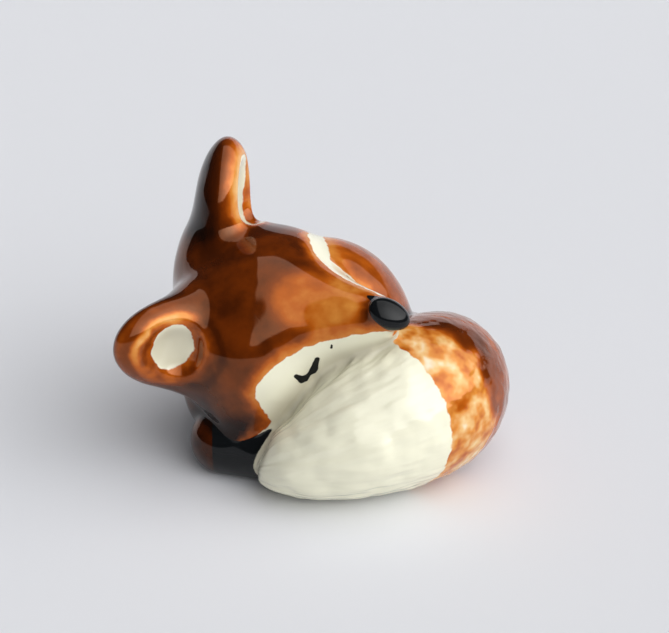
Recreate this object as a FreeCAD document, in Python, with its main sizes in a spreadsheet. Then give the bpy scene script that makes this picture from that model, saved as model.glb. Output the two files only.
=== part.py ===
import FreeCAD, Part
import math
import os
import Sketcher

# A palm-sized glazed porcelain fox, asleep and curled up with its chin on its tail.
# Lengths are millimetres and angles are degrees. +Z is up, +X runs from the head end
# to the rump, and -Y faces the side that the tail sweeps round. The origin is the
# middle of the trunk's foot, on the plane that the figurine stands on.
# Each form is the lump that a modeller rolls, presses against its neighbours and
# lutes on before firing, so a later form is hollowed where an earlier one sits in it.

# Alias, value and meaning of every size that can be set
SIZES = (
    ("trunk_half_length", 8.8, "trunk egg along X"),
    ("trunk_half_depth", 8.3, "trunk egg along Y"),
    ("trunk_half_height", 10.4, "trunk egg along Z"),
    ("trunk_foot_depth", 1.8, "height of egg that the foot plane takes off the trunk"),
    ("haunch_half_length", 7.4, "haunch egg along X"),
    ("haunch_half_depth", 6.8, "haunch egg along Y"),
    ("haunch_half_height", 5.2, "haunch egg along Z"),
    ("haunch_foot_depth", 0.4, "height that the foot plane takes off the haunch"),
    ("haunch_set_in", 1.8, "haunch centre inside the trunk's rear end"),
    ("haunch_far", 2.2, "haunch centre on the far side of the trunk centre, +Y"),
    ("shoulder_half_length", 6.4, "shoulder egg along X"),
    ("shoulder_half_depth", 6.4, "shoulder egg along Y"),
    ("shoulder_half_height", 6.6, "shoulder egg along Z"),
    ("shoulder_foot_depth", 0.4, "height that the foot plane takes off the shoulder"),
    ("shoulder_set_in", 2.1, "shoulder centre inside the trunk's front end"),
    ("shoulder_near", 2.8, "shoulder centre on the near side of the trunk centre, -Y"),
    ("forepaw_root_radius", 3.2, "folded forepaw at the elbow"),
    ("forepaw_toe_radius", 2.8, "folded forepaw at the toes"),
    ("forepaw_length", 6.9, "from the elbow's centre to the toes' centre"),
    ("forepaw_foot_depth", 0.4, "height that the foot plane takes off the forepaw"),
    ("forepaw_ahead", 2.2, "elbow's centre ahead of the shoulder centre, -X"),
    ("forepaw_outside", 5.0, "elbow's centre on the near side of the shoulder centre, -Y"),
    ("forepaw_turn_angle", -20.0, "heading of the forepaw"),
    ("tail_outset_length", 3.4, "ellipse of the tail's middle line outside the trunk, along X"),
    ("tail_outset_depth", 1.4, "the same ellipse outside the trunk along Y"),
    ("tail_ring_front", 1.8, "ellipse centre ahead of the trunk centre, -X"),
    ("tail_ring_near", 3.2, "ellipse centre on the near side of the trunk centre, -Y"),
    ("tail_radius", 7.45, "brush where it is fattest"),
    ("tail_root_radius", 2.6, "tail where it leaves the haunch"),
    ("tail_root_height", 5.0, "middle of the tail's root above the foot plane"),
    ("tail_foot_depth", 0.2, "height that the foot plane takes off the brush"),
    ("tail_tip_height", 2.6, "end of the brush above the foot plane"),
    ("tail_root_angle", 50.0, "root's place on the ellipse"),
    ("tail_widest_angle", -33.0, "fattest place on the ellipse"),
    ("tail_tip_angle", -108.0, "tip's place on the ellipse"),
    ("tail_fullness", 1.4, "power of the taper to the tip, 2 for an ellipse"),
    ("head_set_in", 2.9, "skull centre inside the trunk's front end"),
    ("head_inside_brush", 9.9, "skull centre inside the near end of the tail's ellipse"),
    ("head_above_brush", 5.35, "skull centre above the middle of the brush, which carries the chin"),
    ("head_turn_angle", -31.0, "heading of the snout"),
    ("head_lift_angle", -13.0, "snout's pitch, negative with the nose up"),
    ("head_roll_angle", 35.0, "crown rolled towards the near side"),
    ("skull_half_length", 8.0, "skull egg along the snout"),
    ("skull_half_width", 8.7, "skull egg from ear to ear"),
    ("skull_half_height", 8.0, "skull egg from chin to crown"),
    ("temple_half_length", 6.3, "fullness under the left ear, along the snout"),
    ("temple_half_width", 6.1, "the same from ear to ear"),
    ("temple_half_height", 6.1, "the same from chin to crown"),
    ("temple_back", 2.3, "temple's centre behind the skull centre"),
    ("temple_out", 2.3, "temple's centre left of the skull centre"),
    ("temple_rise", 1.6, "temple's centre above the skull centre"),
    ("cheek_root_radius", 6.0, "cheek ruff where it leaves the skull"),
    ("cheek_forward", 0.5, "ruff root ahead of the skull centre"),
    ("cheek_out", 3.5, "ruff root beside the skull centre"),
    ("cheek_drop", 0.6, "ruff root below the skull centre"),
    ("right_cheek_tip_radius", 2.4, "end of the right ruff"),
    ("right_cheek_length", 6.2, "between the centres of the right ruff's ends"),
    ("right_cheek_turn_angle", -93.0, "right ruff's heading from the snout"),
    ("right_cheek_dip_angle", 27.0, "right ruff's dip towards the chin"),
    ("left_cheek_tip_radius", 2.8, "end of the left ruff"),
    ("left_cheek_length", 4.0, "between the centres of the left ruff's ends"),
    ("left_cheek_turn_angle", 83.0, "left ruff's heading from the snout"),
    ("left_cheek_dip_angle", 9.0, "left ruff's dip towards the chin"),
    ("muzzle_root_radius", 6.2, "muzzle where it leaves the skull"),
    ("muzzle_tip_radius", 1.9, "muzzle at the nose"),
    ("muzzle_length", 11.0, "between the centres of the muzzle's ends"),
    ("muzzle_forward", 2.0, "muzzle root ahead of the skull centre"),
    ("muzzle_rise", 0.4, "muzzle root above the skull centre"),
    ("muzzle_turn_angle", 1.5, "muzzle's heading from the skull's"),
    ("muzzle_dip_angle", -2.6, "muzzle's dip, negative with the nose up"),
    ("nose_half_length", 1.3, "nose pad along the muzzle"),
    ("nose_half_width", 1.6, "nose pad across the muzzle"),
    ("nose_half_height", 1.1, "nose pad upright"),
    ("nose_rise", 0.7, "nose pad above the muzzle's middle line"),
    ("right_ear_back", 2.8, "right ear root behind the skull centre"),
    ("right_ear_out", 5.0, "right ear root beside the skull centre"),
    ("right_ear_rise", 4.4, "right ear root above the skull centre"),
    ("right_ear_turn_angle", -31.0, "turn of the right ear's bowl"),
    ("right_ear_lean_angle", 1.0, "lean of the right ear's bowl"),
    ("right_ear_splay_angle", 39.0, "right ear leaning outwards"),
    ("right_ear_length", 7.9, "right ear from root to tip"),
    ("right_ear_half_length", 6.2, "right ear blade along the ear"),
    ("right_ear_half_width", 4.3, "right ear blade across the bowl"),
    ("right_ear_half_thickness", 2.3, "right ear blade through the bowl"),
    ("left_ear_back", 4.4, "left ear root behind the skull centre"),
    ("left_ear_out", 5.2, "left ear root beside the skull centre"),
    ("left_ear_rise", 3.2, "left ear root above the skull centre"),
    ("left_ear_turn_angle", 14.0, "turn of the left ear's bowl"),
    ("left_ear_lean_angle", 28.0, "lean of the left ear's bowl"),
    ("left_ear_splay_angle", -38.0, "left ear leaning outwards, mirrored sign"),
    ("left_ear_length", 11.1, "left ear from root to tip"),
    ("left_ear_half_length", 6.6, "left ear blade along the ear"),
    ("left_ear_half_width", 4.7, "left ear blade across the bowl"),
    ("left_ear_half_thickness", 2.7, "left ear blade through the bowl"),
    ("right_flare_half_length", 5.1, "swelling at the right ear's root, along the ear"),
    ("right_flare_half_width", 5.6, "the same across the bowl"),
    ("right_flare_half_thickness", 4.3, "the same through the bowl"),
    ("right_flare_back", 0.4, "swelling's centre behind the right ear's root"),
    ("right_flare_drop", 1.3, "swelling's centre below the right ear's root"),
    ("left_flare_half_length", 6.2, "swelling at the left ear's root, along the ear"),
    ("left_flare_half_width", 5.0, "the same across the bowl"),
    ("left_flare_half_thickness", 3.5, "the same through the bowl"),
    ("left_flare_back", 0.6, "swelling's centre behind the left ear's root"),
    ("left_flare_drop", 0.9, "swelling's centre below the left ear's root"),
    ("bowl_half_length", 4.4, "hollow of an ear along the ear"),
    ("bowl_half_width", 3.0, "hollow of an ear across"),
    ("bowl_half_thickness", 2.1, "hollow of an ear through the blade"),
    ("bowl_front", 2.8, "hollow's centre ahead of the blade's middle"),
    ("bowl_below_tip", 5.6, "hollow's centre below the ear's tip"),
    ("ground_overrun", 4.0, "margin of the foot plane's cutter past the forms"),
)
VALUE = {alias: value for alias, value, _ in SIZES}

# Places of the tail's rings, as shares of the way from its fattest place
TAIL_ROOT_SHARES = (1.0, 0.75, 0.5, 0.25)
TAIL_TIP_SHARES = (0.0, 0.15, 0.3, 0.45, 0.6, 0.72, 0.82, 0.9, 0.96)

# Places that follow from the sizes of more than one piece
TAIL_HALF_LENGTH = "(Sizes.trunk_half_length + Sizes.tail_outset_length)"
TAIL_HALF_DEPTH = "(Sizes.trunk_half_depth + Sizes.tail_outset_depth)"
BRUSH_HEIGHT = "(Sizes.tail_radius - Sizes.tail_foot_depth)"
HAUNCH_X = "(Sizes.trunk_half_length - Sizes.haunch_set_in)"
SHOULDER_X = "(Sizes.shoulder_set_in - Sizes.trunk_half_length)"
HEAD_X = "(Sizes.head_set_in - Sizes.trunk_half_length)"
HEAD_Y = f"(Sizes.head_inside_brush - {TAIL_HALF_DEPTH} - Sizes.tail_ring_near)"
HEAD_Z = f"({BRUSH_HEIGHT} + Sizes.head_above_brush)"

doc = FreeCAD.newDocument("SleepingFox")
sheet = doc.addObject("Spreadsheet::Sheet", "Sizes")
for row, (alias, value, meaning) in enumerate(SIZES, start=1):
    sheet.set(f"A{row}", alias)
    sheet.set(f"B{row}", str(value))
    sheet.set(f"C{row}", meaning)
    sheet.setAlias(f"B{row}", alias)
doc.recompute()


def place(item, x="0", y="0", z="0", turns=("0", "0", "0"), carrier=None):
    """Bind an item's placement to the sheet, in its carrier's axes where it has one."""
    turn, pitch, roll = turns
    own = f"placement(vector({x}; {y}; {z}); rotation({turn}; {pitch}; {roll}))"
    item.setExpression("Placement", f"{carrier.Name}.Placement * {own}" if carrier else own)


def egg(name, half_x, half_y, half_z):
    """Make an ellipsoid from three half sizes of the sheet."""
    item = doc.addObject("Part::Ellipsoid", name)
    item.setExpression("Radius1", f"Sizes.{half_z}")
    item.setExpression("Radius2", f"Sizes.{half_x}")
    item.setExpression("Radius3", f"Sizes.{half_y}")
    return item


def standing_egg(name, part, x="0", y="0"):
    """Make an egg that the foot plane cuts to the depth that the part's sizes give."""
    item = egg(name, f"{part}_half_length", f"{part}_half_depth", f"{part}_half_height")
    place(item, x, y, f"Sizes.{part}_half_height - Sizes.{part}_foot_depth")
    return item


def rounded_cone(name, root_radius, tip_radius, length):
    """Turn a cone with two round ends about X, its root end centred on the origin."""
    body = doc.addObject("PartDesign::Body", name)
    sketch = body.newObject("Sketcher::SketchObject", f"{name}Profile")
    planes = {plane.Role: plane for plane in body.Origin.OriginFeatures}
    sketch.AttachmentSupport = [(planes["XY_Plane"], "")]
    sketch.MapMode = "FlatFace"

    root, tip, reach = VALUE[root_radius], VALUE[tip_radius], VALUE[length]
    slope = math.asin((root - tip) / reach)
    centre = FreeCAD.Vector(0, 0, 0)
    end = FreeCAD.Vector(reach, 0, 0)
    normal = FreeCAD.Vector(math.sin(slope), math.cos(slope), 0)
    axis = FreeCAD.Vector(0, 0, 1)
    quarter = math.pi / 2
    root_arc = sketch.addGeometry(
        Part.ArcOfCircle(Part.Circle(centre, axis, root), quarter - slope, math.pi))
    flank = sketch.addGeometry(Part.LineSegment(centre + normal * root, end + normal * tip))
    tip_arc = sketch.addGeometry(
        Part.ArcOfCircle(Part.Circle(end, axis, tip), 0, quarter - slope))
    spine = sketch.addGeometry(Part.LineSegment(
        FreeCAD.Vector(-root, 0, 0), FreeCAD.Vector(reach + tip, 0, 0)))

    start, finish, middle, origin, level = 1, 2, 3, (-1, 1), -1
    sketch.addConstraint([
        Sketcher.Constraint("Tangent", root_arc, start, flank, start),
        Sketcher.Constraint("Tangent", tip_arc, finish, flank, finish),
        Sketcher.Constraint("Coincident", root_arc, finish, spine, start),
        Sketcher.Constraint("Coincident", tip_arc, start, spine, finish),
        Sketcher.Constraint("Coincident", root_arc, middle, *origin),
        Sketcher.Constraint("PointOnObject", spine, start, level),
        Sketcher.Constraint("PointOnObject", spine, finish, level),
        Sketcher.Constraint("PointOnObject", tip_arc, middle, level),
    ])
    for sized, label, alias in ((root_arc, "root", root_radius), (tip_arc, "tip", tip_radius)):
        number = sketch.addConstraint(Sketcher.Constraint("Radius", sized, VALUE[alias]))
        sketch.renameConstraint(number, label)
        sketch.setExpression(f"Constraints.{label}", f"Sizes.{alias}")
    number = sketch.addConstraint(Sketcher.Constraint("DistanceX", *origin, tip_arc, middle, reach))
    sketch.renameConstraint(number, "reach")
    sketch.setExpression("Constraints.reach", f"Sizes.{length}")

    turned = body.newObject("PartDesign::Revolution", f"{name}Turned")
    turned.Profile = sketch
    turned.ReferenceAxis = (sketch, ["H_Axis"])
    turned.Angle = 360
    return body


def tail_ring_place(angle):
    """Give the X and Y expressions of the tail's middle line at an angle expression."""
    x = f"{TAIL_HALF_LENGTH} * cos({angle}) - Sizes.tail_ring_front"
    y = f"{TAIL_HALF_DEPTH} * sin({angle}) - Sizes.tail_ring_near"
    return x, y


def tail_ring(number, angle, radius, height):
    """Make one circle of the tail, square to its middle line."""
    ring = doc.addObject("Part::Circle", f"TailRing{number}")
    ring.setExpression("Radius", radius)
    heading = f"atan2(-{TAIL_HALF_DEPTH} * cos({angle}); {TAIL_HALF_LENGTH} * sin({angle}))"
    x, y = tail_ring_place(angle)
    place(ring, x, y, height, (heading, "90", "0"))
    return ring


def tail():
    """Loft the brush through rings from the root, by way of the fattest one, to the tip."""
    rings = []
    for share in TAIL_ROOT_SHARES:
        angle = ("(Sizes.tail_widest_angle + "
                 f"(Sizes.tail_root_angle - Sizes.tail_widest_angle) * {share})")
        radius = ("(Sizes.tail_radius - "
                  f"(Sizes.tail_radius - Sizes.tail_root_radius) * {share} ^ 2)")
        height = (f"{BRUSH_HEIGHT} * (1 - {share} ^ 2) + "
                  f"Sizes.tail_root_height * {share} ^ 2")
        rings.append(tail_ring(len(rings), angle, radius, height))
    for share in TAIL_TIP_SHARES:
        angle = ("(Sizes.tail_widest_angle + "
                 f"(Sizes.tail_tip_angle - Sizes.tail_widest_angle) * {share})")
        radius = f"Sizes.tail_radius * sqrt(1 - {share} ^ Sizes.tail_fullness)"
        height = (f"{BRUSH_HEIGHT} * (1 - {share} ^ 2) + "
                  f"Sizes.tail_tip_height * {share} ^ 2")
        rings.append(tail_ring(len(rings), angle, radius, height))
    tip = doc.addObject("Part::Vertex", "TailTip")
    place(tip, *tail_ring_place("Sizes.tail_tip_angle"), "Sizes.tail_tip_height")
    item = doc.addObject("Part::Loft", "TailForm")
    item.Sections = rings + [tip]
    item.Solid = True
    return item


def ear(side, sign):
    """Make an ear: a blade with a swelling at its root and a bowl scooped out of it."""
    root = doc.addObject("Part::Vertex", f"{side}EarRoot")
    word = side.lower()
    turns = [f"Sizes.{word}_ear_{turn}_angle" for turn in ("turn", "lean", "splay")]
    place(root, f"-Sizes.{word}_ear_back", f"{sign} * Sizes.{word}_ear_out",
          f"Sizes.{word}_ear_rise", turns, head_centre)
    sizes = [f"{word}_ear_half_{size}" for size in ("thickness", "width", "length")]
    blade = egg(f"{side}EarBlade", *sizes)
    place(blade, z=f"Sizes.{word}_ear_length - Sizes.{word}_ear_half_length", carrier=root)
    sizes = [f"{word}_flare_half_{size}" for size in ("thickness", "width", "length")]
    flare = egg(f"{side}EarFlare", *sizes)
    place(flare, x=f"-Sizes.{word}_flare_back", z=f"-Sizes.{word}_flare_drop", carrier=root)
    bowl = egg(f"{side}EarBowl", "bowl_half_thickness", "bowl_half_width", "bowl_half_length")
    place(bowl, x="Sizes.bowl_front", z=f"Sizes.{word}_ear_length - Sizes.bowl_below_tip", carrier=root)
    return less(joined(f"{side}EarForm", blade, flare), bowl)


def joined(name, *lumps):
    """Fuse lumps into one form."""
    item = doc.addObject("Part::MultiFuse", name)
    item.Shapes = lumps
    return item


def less(form, *tools):
    """Take each tool in turn out of a form."""
    whole = form.Name
    for tool in tools:
        cut = doc.addObject("Part::Cut", f"{whole}_less_{tool.Name}")
        cut.Base = form
        cut.Tool = tool
        form = cut
    return form


# The foot plane's cutter is a slab under everything that stands on it
ground = doc.addObject("Part::Box", "Ground")
ground_reach = (f"({TAIL_HALF_LENGTH} + Sizes.tail_ring_front + "
                "Sizes.tail_radius + Sizes.ground_overrun)")
ground.setExpression("Length", f"2 * {ground_reach}")
ground.setExpression("Width", f"2 * {ground_reach}")
ground.setExpression("Height", "Sizes.ground_overrun")
place(ground, f"-{ground_reach}", f"-{ground_reach}", "-Sizes.ground_overrun")

# The curled body
trunk_form = standing_egg("TrunkForm", "trunk")
haunch_form = standing_egg("HaunchForm", "haunch", HAUNCH_X, "Sizes.haunch_far")
shoulder_form = standing_egg("ShoulderForm", "shoulder", SHOULDER_X, "-Sizes.shoulder_near")
forepaw_form = rounded_cone("ForepawForm", "forepaw_root_radius", "forepaw_toe_radius", "forepaw_length")
place(forepaw_form, f"{SHOULDER_X} - Sizes.forepaw_ahead",
      "-Sizes.shoulder_near - Sizes.forepaw_outside",
      "Sizes.forepaw_root_radius - Sizes.forepaw_foot_depth", ("Sizes.forepaw_turn_angle", "0", "0"))
tail_form = tail()

# The head, in its own axes: X along the snout, Y to its left and Z to the crown
head_centre = doc.addObject("Part::Vertex", "HeadCentre")
place(head_centre, HEAD_X, HEAD_Y, HEAD_Z,
      ("Sizes.head_turn_angle", "Sizes.head_lift_angle", "Sizes.head_roll_angle"))
skull = egg("Skull", "skull_half_length", "skull_half_width", "skull_half_height")
place(skull, carrier=head_centre)
temple = egg("Temple", "temple_half_length", "temple_half_width", "temple_half_height")
place(temple, "-Sizes.temple_back", "Sizes.temple_out", "Sizes.temple_rise", carrier=head_centre)
cheeks = []
for side, sign in (("right", "-1"), ("left", "1")):
    cheek = rounded_cone(f"{side.title()}Cheek", "cheek_root_radius",
                         f"{side}_cheek_tip_radius", f"{side}_cheek_length")
    place(cheek, "Sizes.cheek_forward", f"{sign} * Sizes.cheek_out", "-Sizes.cheek_drop",
          (f"Sizes.{side}_cheek_turn_angle", f"Sizes.{side}_cheek_dip_angle", "0"), head_centre)
    cheeks.append(cheek)
head_form = joined("HeadForm", skull, temple, *cheeks)
muzzle_form = rounded_cone("MuzzleForm", "muzzle_root_radius", "muzzle_tip_radius", "muzzle_length")
place(muzzle_form, "Sizes.muzzle_forward", z="Sizes.muzzle_rise",
      turns=("Sizes.muzzle_turn_angle", "Sizes.muzzle_dip_angle", "0"), carrier=head_centre)
nose_form = egg("NoseForm", "nose_half_length", "nose_half_width", "nose_half_height")
place(nose_form, "Sizes.muzzle_length + Sizes.muzzle_tip_radius", z="Sizes.nose_rise", carrier=muzzle_form)
right_ear_form = ear("Right", "-1")
left_ear_form = ear("Left", "1")

# Each sub-part is its form less the ground and every form named before it, which is
# pressed into it: the brush is laid round all the rest, so it comes last
FORMS = {
    "head": head_form,
    "nose": nose_form,
    "muzzle": muzzle_form,
    "right_ear": right_ear_form,
    "left_ear": left_ear_form,
    "forepaw": forepaw_form,
    "shoulder": shoulder_form,
    "trunk": trunk_form,
    "haunch": haunch_form,
    "tail": tail_form,
}
PIECES = {}
pressed_in = [ground]
for node, form in FORMS.items():
    PIECES[node] = less(form, *pressed_in)
    PIECES[node].Label = node
    pressed_in.append(form)
doc.recompute()

for item in doc.Objects:
    if "Invalid" in item.State or "Error" in item.State:
        raise RuntimeError(f"{item.Label} did not build: {item.State}")
for node, piece in PIECES.items():
    if piece.Shape.isNull() or not piece.Shape.isValid():
        raise RuntimeError(f"{node} has no valid shape")

os.makedirs("parts", exist_ok=True)
for node, piece in PIECES.items():
    solids = piece.Shape.Solids
    box = piece.Shape.optimalBoundingBox()
    print(f"{node}: {len(solids)} solid, {piece.Shape.Volume:.1f} mm3, "
          f"x {box.XMin:.1f} to {box.XMax:.1f}, y {box.YMin:.1f} to {box.YMax:.1f}, "
          f"z {box.ZMin:.1f} to {box.ZMax:.1f}")
    piece.Shape.exportStep(f"parts/{node}.step")
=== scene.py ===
"""A palm-sized glazed porcelain fox, asleep and curled up with its chin on its tail.

The figurine is sculpted from forms in millimetres: eggs, rolls of clay and one brush
that sweeps round a ring. Geometry Nodes blend the forms, cut each piece out of the
whole along its luted seam, lay its surface exactly and store where the paint goes.
"""

import logging
import math
from collections.abc import Mapping, Sequence
from dataclasses import dataclass
from enum import Enum

import bpy
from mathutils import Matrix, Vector


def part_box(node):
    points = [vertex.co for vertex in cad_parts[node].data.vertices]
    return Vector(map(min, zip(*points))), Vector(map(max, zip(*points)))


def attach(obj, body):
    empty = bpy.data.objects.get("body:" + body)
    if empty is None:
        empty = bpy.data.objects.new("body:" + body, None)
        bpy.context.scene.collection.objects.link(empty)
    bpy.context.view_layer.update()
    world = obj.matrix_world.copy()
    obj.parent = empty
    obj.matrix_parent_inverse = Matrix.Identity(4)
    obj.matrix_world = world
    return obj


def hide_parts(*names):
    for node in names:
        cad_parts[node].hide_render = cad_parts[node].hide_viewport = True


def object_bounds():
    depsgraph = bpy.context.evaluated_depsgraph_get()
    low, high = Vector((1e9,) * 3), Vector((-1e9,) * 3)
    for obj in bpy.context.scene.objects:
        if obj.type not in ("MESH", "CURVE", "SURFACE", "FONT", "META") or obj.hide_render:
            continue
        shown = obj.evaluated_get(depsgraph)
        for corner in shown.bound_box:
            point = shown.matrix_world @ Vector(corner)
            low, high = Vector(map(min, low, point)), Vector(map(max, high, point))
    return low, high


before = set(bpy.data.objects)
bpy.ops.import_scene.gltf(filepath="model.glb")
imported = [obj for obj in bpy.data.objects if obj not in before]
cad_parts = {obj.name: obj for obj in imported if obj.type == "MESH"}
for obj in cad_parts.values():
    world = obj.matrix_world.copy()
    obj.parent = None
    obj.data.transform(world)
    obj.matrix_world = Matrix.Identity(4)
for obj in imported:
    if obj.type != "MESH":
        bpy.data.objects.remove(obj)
CAD_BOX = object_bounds()

Triple = tuple[float, float, float]
Colour = tuple[float, float, float]

log = logging.getLogger("fox")

FIGURINE_LENGTH = 35.5
UNIT_DIGITS = 5
MILLIMETRES_IN_METRE = 1000.0
AXES = (Vector((1.0, 0.0, 0.0)), Vector((0.0, 1.0, 0.0)), Vector((0.0, 0.0, 1.0)))


class Kind(Enum):
    """What a socket of a node group carries."""

    AMOUNT = "NodeSocketFloat"
    ARROW = "NodeSocketVector"
    GEOMETRY = "NodeSocketGeometry"
    MATERIAL = "NodeSocketMaterial"


class Slot(Enum):
    """The record's material slots."""

    AMBER = "amber_glaze"
    WHITE = "white_glaze"
    BLACK = "black_glaze"


class Trace(Enum):
    """What each point of a piece remembers, for the paint."""

    WHITE_EDGE = "white_edge"
    BLACK_EDGE = "black_edge"
    DEPTH = "depth"
    DABS = "dabs"
    CREST = "crest"
    RELIEF = "relief"


class Wire:
    """A value that runs through a node tree."""

    def __init__(self, socket: bpy.types.NodeSocket) -> None:
        """Hold the socket that gives the value."""
        self.socket = socket

    @property
    def tree(self) -> bpy.types.NodeTree:
        """The tree that the value belongs to."""
        return self.socket.id_data


def plug(slot: bpy.types.NodeSocket, value: object) -> None:
    """Lead a wire into a slot, or set the slot to a plain value.

    Args:
        slot: The input socket.
        value: A wire of the same tree, or a plain value.
    """
    if isinstance(value, Wire):
        slot.id_data.links.new(value.socket, slot)
    else:
        slot.default_value = value


class Amount(Wire):
    """A number that runs through a node tree, with the usual signs of arithmetic."""

    @staticmethod
    def of(tree: bpy.types.NodeTree, operation: str, *terms: "Amount | float") -> "Amount":
        """Put one Math node into a tree.

        Args:
            tree: The tree that gets the node.
            operation: The node's operation.
            *terms: Its inputs, in their order.

        Returns:
            The node's result.
        """
        node = tree.nodes.new("ShaderNodeMath")
        node.operation = operation
        for slot, term in zip(node.inputs, terms):
            plug(slot, term)
        return Amount(node.outputs[0])

    def __add__(self, other: "Amount | float") -> "Amount":
        """Add."""
        return Amount.of(self.tree, "ADD", self, other)

    def __sub__(self, other: "Amount | float") -> "Amount":
        """Take away."""
        return Amount.of(self.tree, "SUBTRACT", self, other)

    def __rsub__(self, other: float) -> "Amount":
        """Take this number away from another."""
        return Amount.of(self.tree, "SUBTRACT", other, self)

    def __mul__(self, other: "Amount | float") -> "Amount":
        """Multiply."""
        return Amount.of(self.tree, "MULTIPLY", self, other)

    def __truediv__(self, other: "Amount | float") -> "Amount":
        """Divide."""
        return Amount.of(self.tree, "DIVIDE", self, other)

    def power(self, exponent: float) -> "Amount":
        """Raise to a power."""
        return Amount.of(self.tree, "POWER", self, exponent)

    def root(self) -> "Amount":
        """Give the square root."""
        return Amount.of(self.tree, "SQRT", self)

    def least(self, other: "Amount | float", blend: float = 0.0) -> "Amount":
        """Give the smaller of two distances, which is the union of two forms.

        Args:
            other: The other distance.
            blend: Width of the smoothed joint between the forms.

        Returns:
            The distance to both forms together.
        """
        if blend:
            return Amount.of(self.tree, "SMOOTH_MIN", self, other, blend)
        return Amount.of(self.tree, "MINIMUM", self, other)

    def most(self, other: "Amount | float", blend: float = 0.0) -> "Amount":
        """Give the larger of two distances, which is what two forms share.

        Args:
            other: The other distance.
            blend: Width of the smoothed edge between the forms.

        Returns:
            The distance to what is in both forms.
        """
        if blend:
            return Amount.of(self.tree, "SMOOTH_MAX", self, other, blend)
        return Amount.of(self.tree, "MAXIMUM", self, other)

    def ramp(self, start: float, end: float, smooth: bool = True) -> "Amount":
        """Go from 0 to 1 while this number goes from start to end.

        Args:
            start: Where the ramp gives 0.
            end: Where the ramp gives 1.
            smooth: Whether the ramp eases in and out.

        Returns:
            A number from 0 to 1.
        """
        node = self.tree.nodes.new("ShaderNodeMapRange")
        node.interpolation_type = "SMOOTHSTEP" if smooth else "LINEAR"
        plug(node.inputs["Value"], self)
        plug(node.inputs["From Min"], start)
        plug(node.inputs["From Max"], end)
        return Amount(node.outputs["Result"])


class Arrow(Wire):
    """A vector that runs through a node tree."""

    @staticmethod
    def node(tree: bpy.types.NodeTree, operation: str, *terms: object) -> bpy.types.Node:
        """Put one Vector Math node into a tree.

        Args:
            tree: The tree that gets the node.
            operation: The node's operation.
            *terms: Its inputs, in their order.

        Returns:
            The node.
        """
        node = tree.nodes.new("ShaderNodeVectorMath")
        node.operation = operation
        for slot, term in zip(node.inputs, terms):
            plug(slot, term)
        return node

    @staticmethod
    def joined(x: Amount, y: "Amount | float", z: "Amount | float" = 0.0) -> "Arrow":
        """Make a vector of three numbers.

        Args:
            x: The first number, from a wire.
            y: The second number.
            z: The third number.

        Returns:
            The vector.
        """
        node = x.tree.nodes.new("ShaderNodeCombineXYZ")
        for slot, term in zip(node.inputs, (x, y, z)):
            plug(slot, term)
        return Arrow(node.outputs[0])

    def __add__(self, other: "Arrow | Triple") -> "Arrow":
        """Add."""
        return Arrow(Arrow.node(self.tree, "ADD", self, other).outputs[0])

    def __sub__(self, other: "Arrow | Triple") -> "Arrow":
        """Take away."""
        return Arrow(Arrow.node(self.tree, "SUBTRACT", self, other).outputs[0])

    def __mul__(self, other: "Arrow | Triple") -> "Arrow":
        """Multiply each axis by itself."""
        return Arrow(Arrow.node(self.tree, "MULTIPLY", self, other).outputs[0])

    def __truediv__(self, other: "Arrow | Triple") -> "Arrow":
        """Divide each axis by itself."""
        return Arrow(Arrow.node(self.tree, "DIVIDE", self, other).outputs[0])

    def scaled(self, factor: "Amount | float") -> "Arrow":
        """Make the vector longer or shorter.

        Args:
            factor: How many times as long it gets.

        Returns:
            The new vector.
        """
        node = Arrow.node(self.tree, "SCALE", self)
        plug(node.inputs["Scale"], factor)
        return Arrow(node.outputs[0])

    def length(self) -> Amount:
        """Give the vector's length."""
        return Amount(Arrow.node(self.tree, "LENGTH", self).outputs["Value"])

    def dot(self, other: "Arrow | Triple") -> Amount:
        """Give the dot product."""
        return Amount(Arrow.node(self.tree, "DOT_PRODUCT", self, other).outputs["Value"])

    def parts(self) -> tuple[Amount, Amount, Amount]:
        """Take the vector apart.

        Returns:
            Its numbers along X, Y and Z.
        """
        node = self.tree.nodes.new("ShaderNodeSeparateXYZ")
        plug(node.inputs[0], self)
        return tuple(Amount(socket) for socket in node.outputs)

    def noise(self, scale: float, detail: float = 0.0) -> Amount:
        """Give a seedless noise from 0 to 1 at this place.

        Args:
            scale: Bumps for each unit of length.
            detail: Finer layers on top of the first.

        Returns:
            The noise.
        """
        node = self.tree.nodes.new("ShaderNodeTexNoise")
        plug(node.inputs["Vector"], self)
        plug(node.inputs["Scale"], scale)
        plug(node.inputs["Detail"], detail)
        return Amount(node.outputs[0])


@dataclass(frozen=True)
class Fade:
    """A soft edge, which gives 0 up to its start and 1 from its end on."""

    start: float
    end: float

    def of(self, amount: Amount) -> Amount:
        """Give how far an amount has come, from 0 to 1."""
        return amount.ramp(self.start, self.end)


@dataclass(frozen=True)
class Unevenness:
    """What is uneven in work by hand: bumps for each millimetre, finer layers and full height."""

    grain: float
    layers: float
    height: float

    def at(self, point: Arrow) -> Amount:
        """Give how much a place is above or below the middle."""
        return (point.noise(self.grain, self.layers) - 0.5) * self.height


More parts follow.
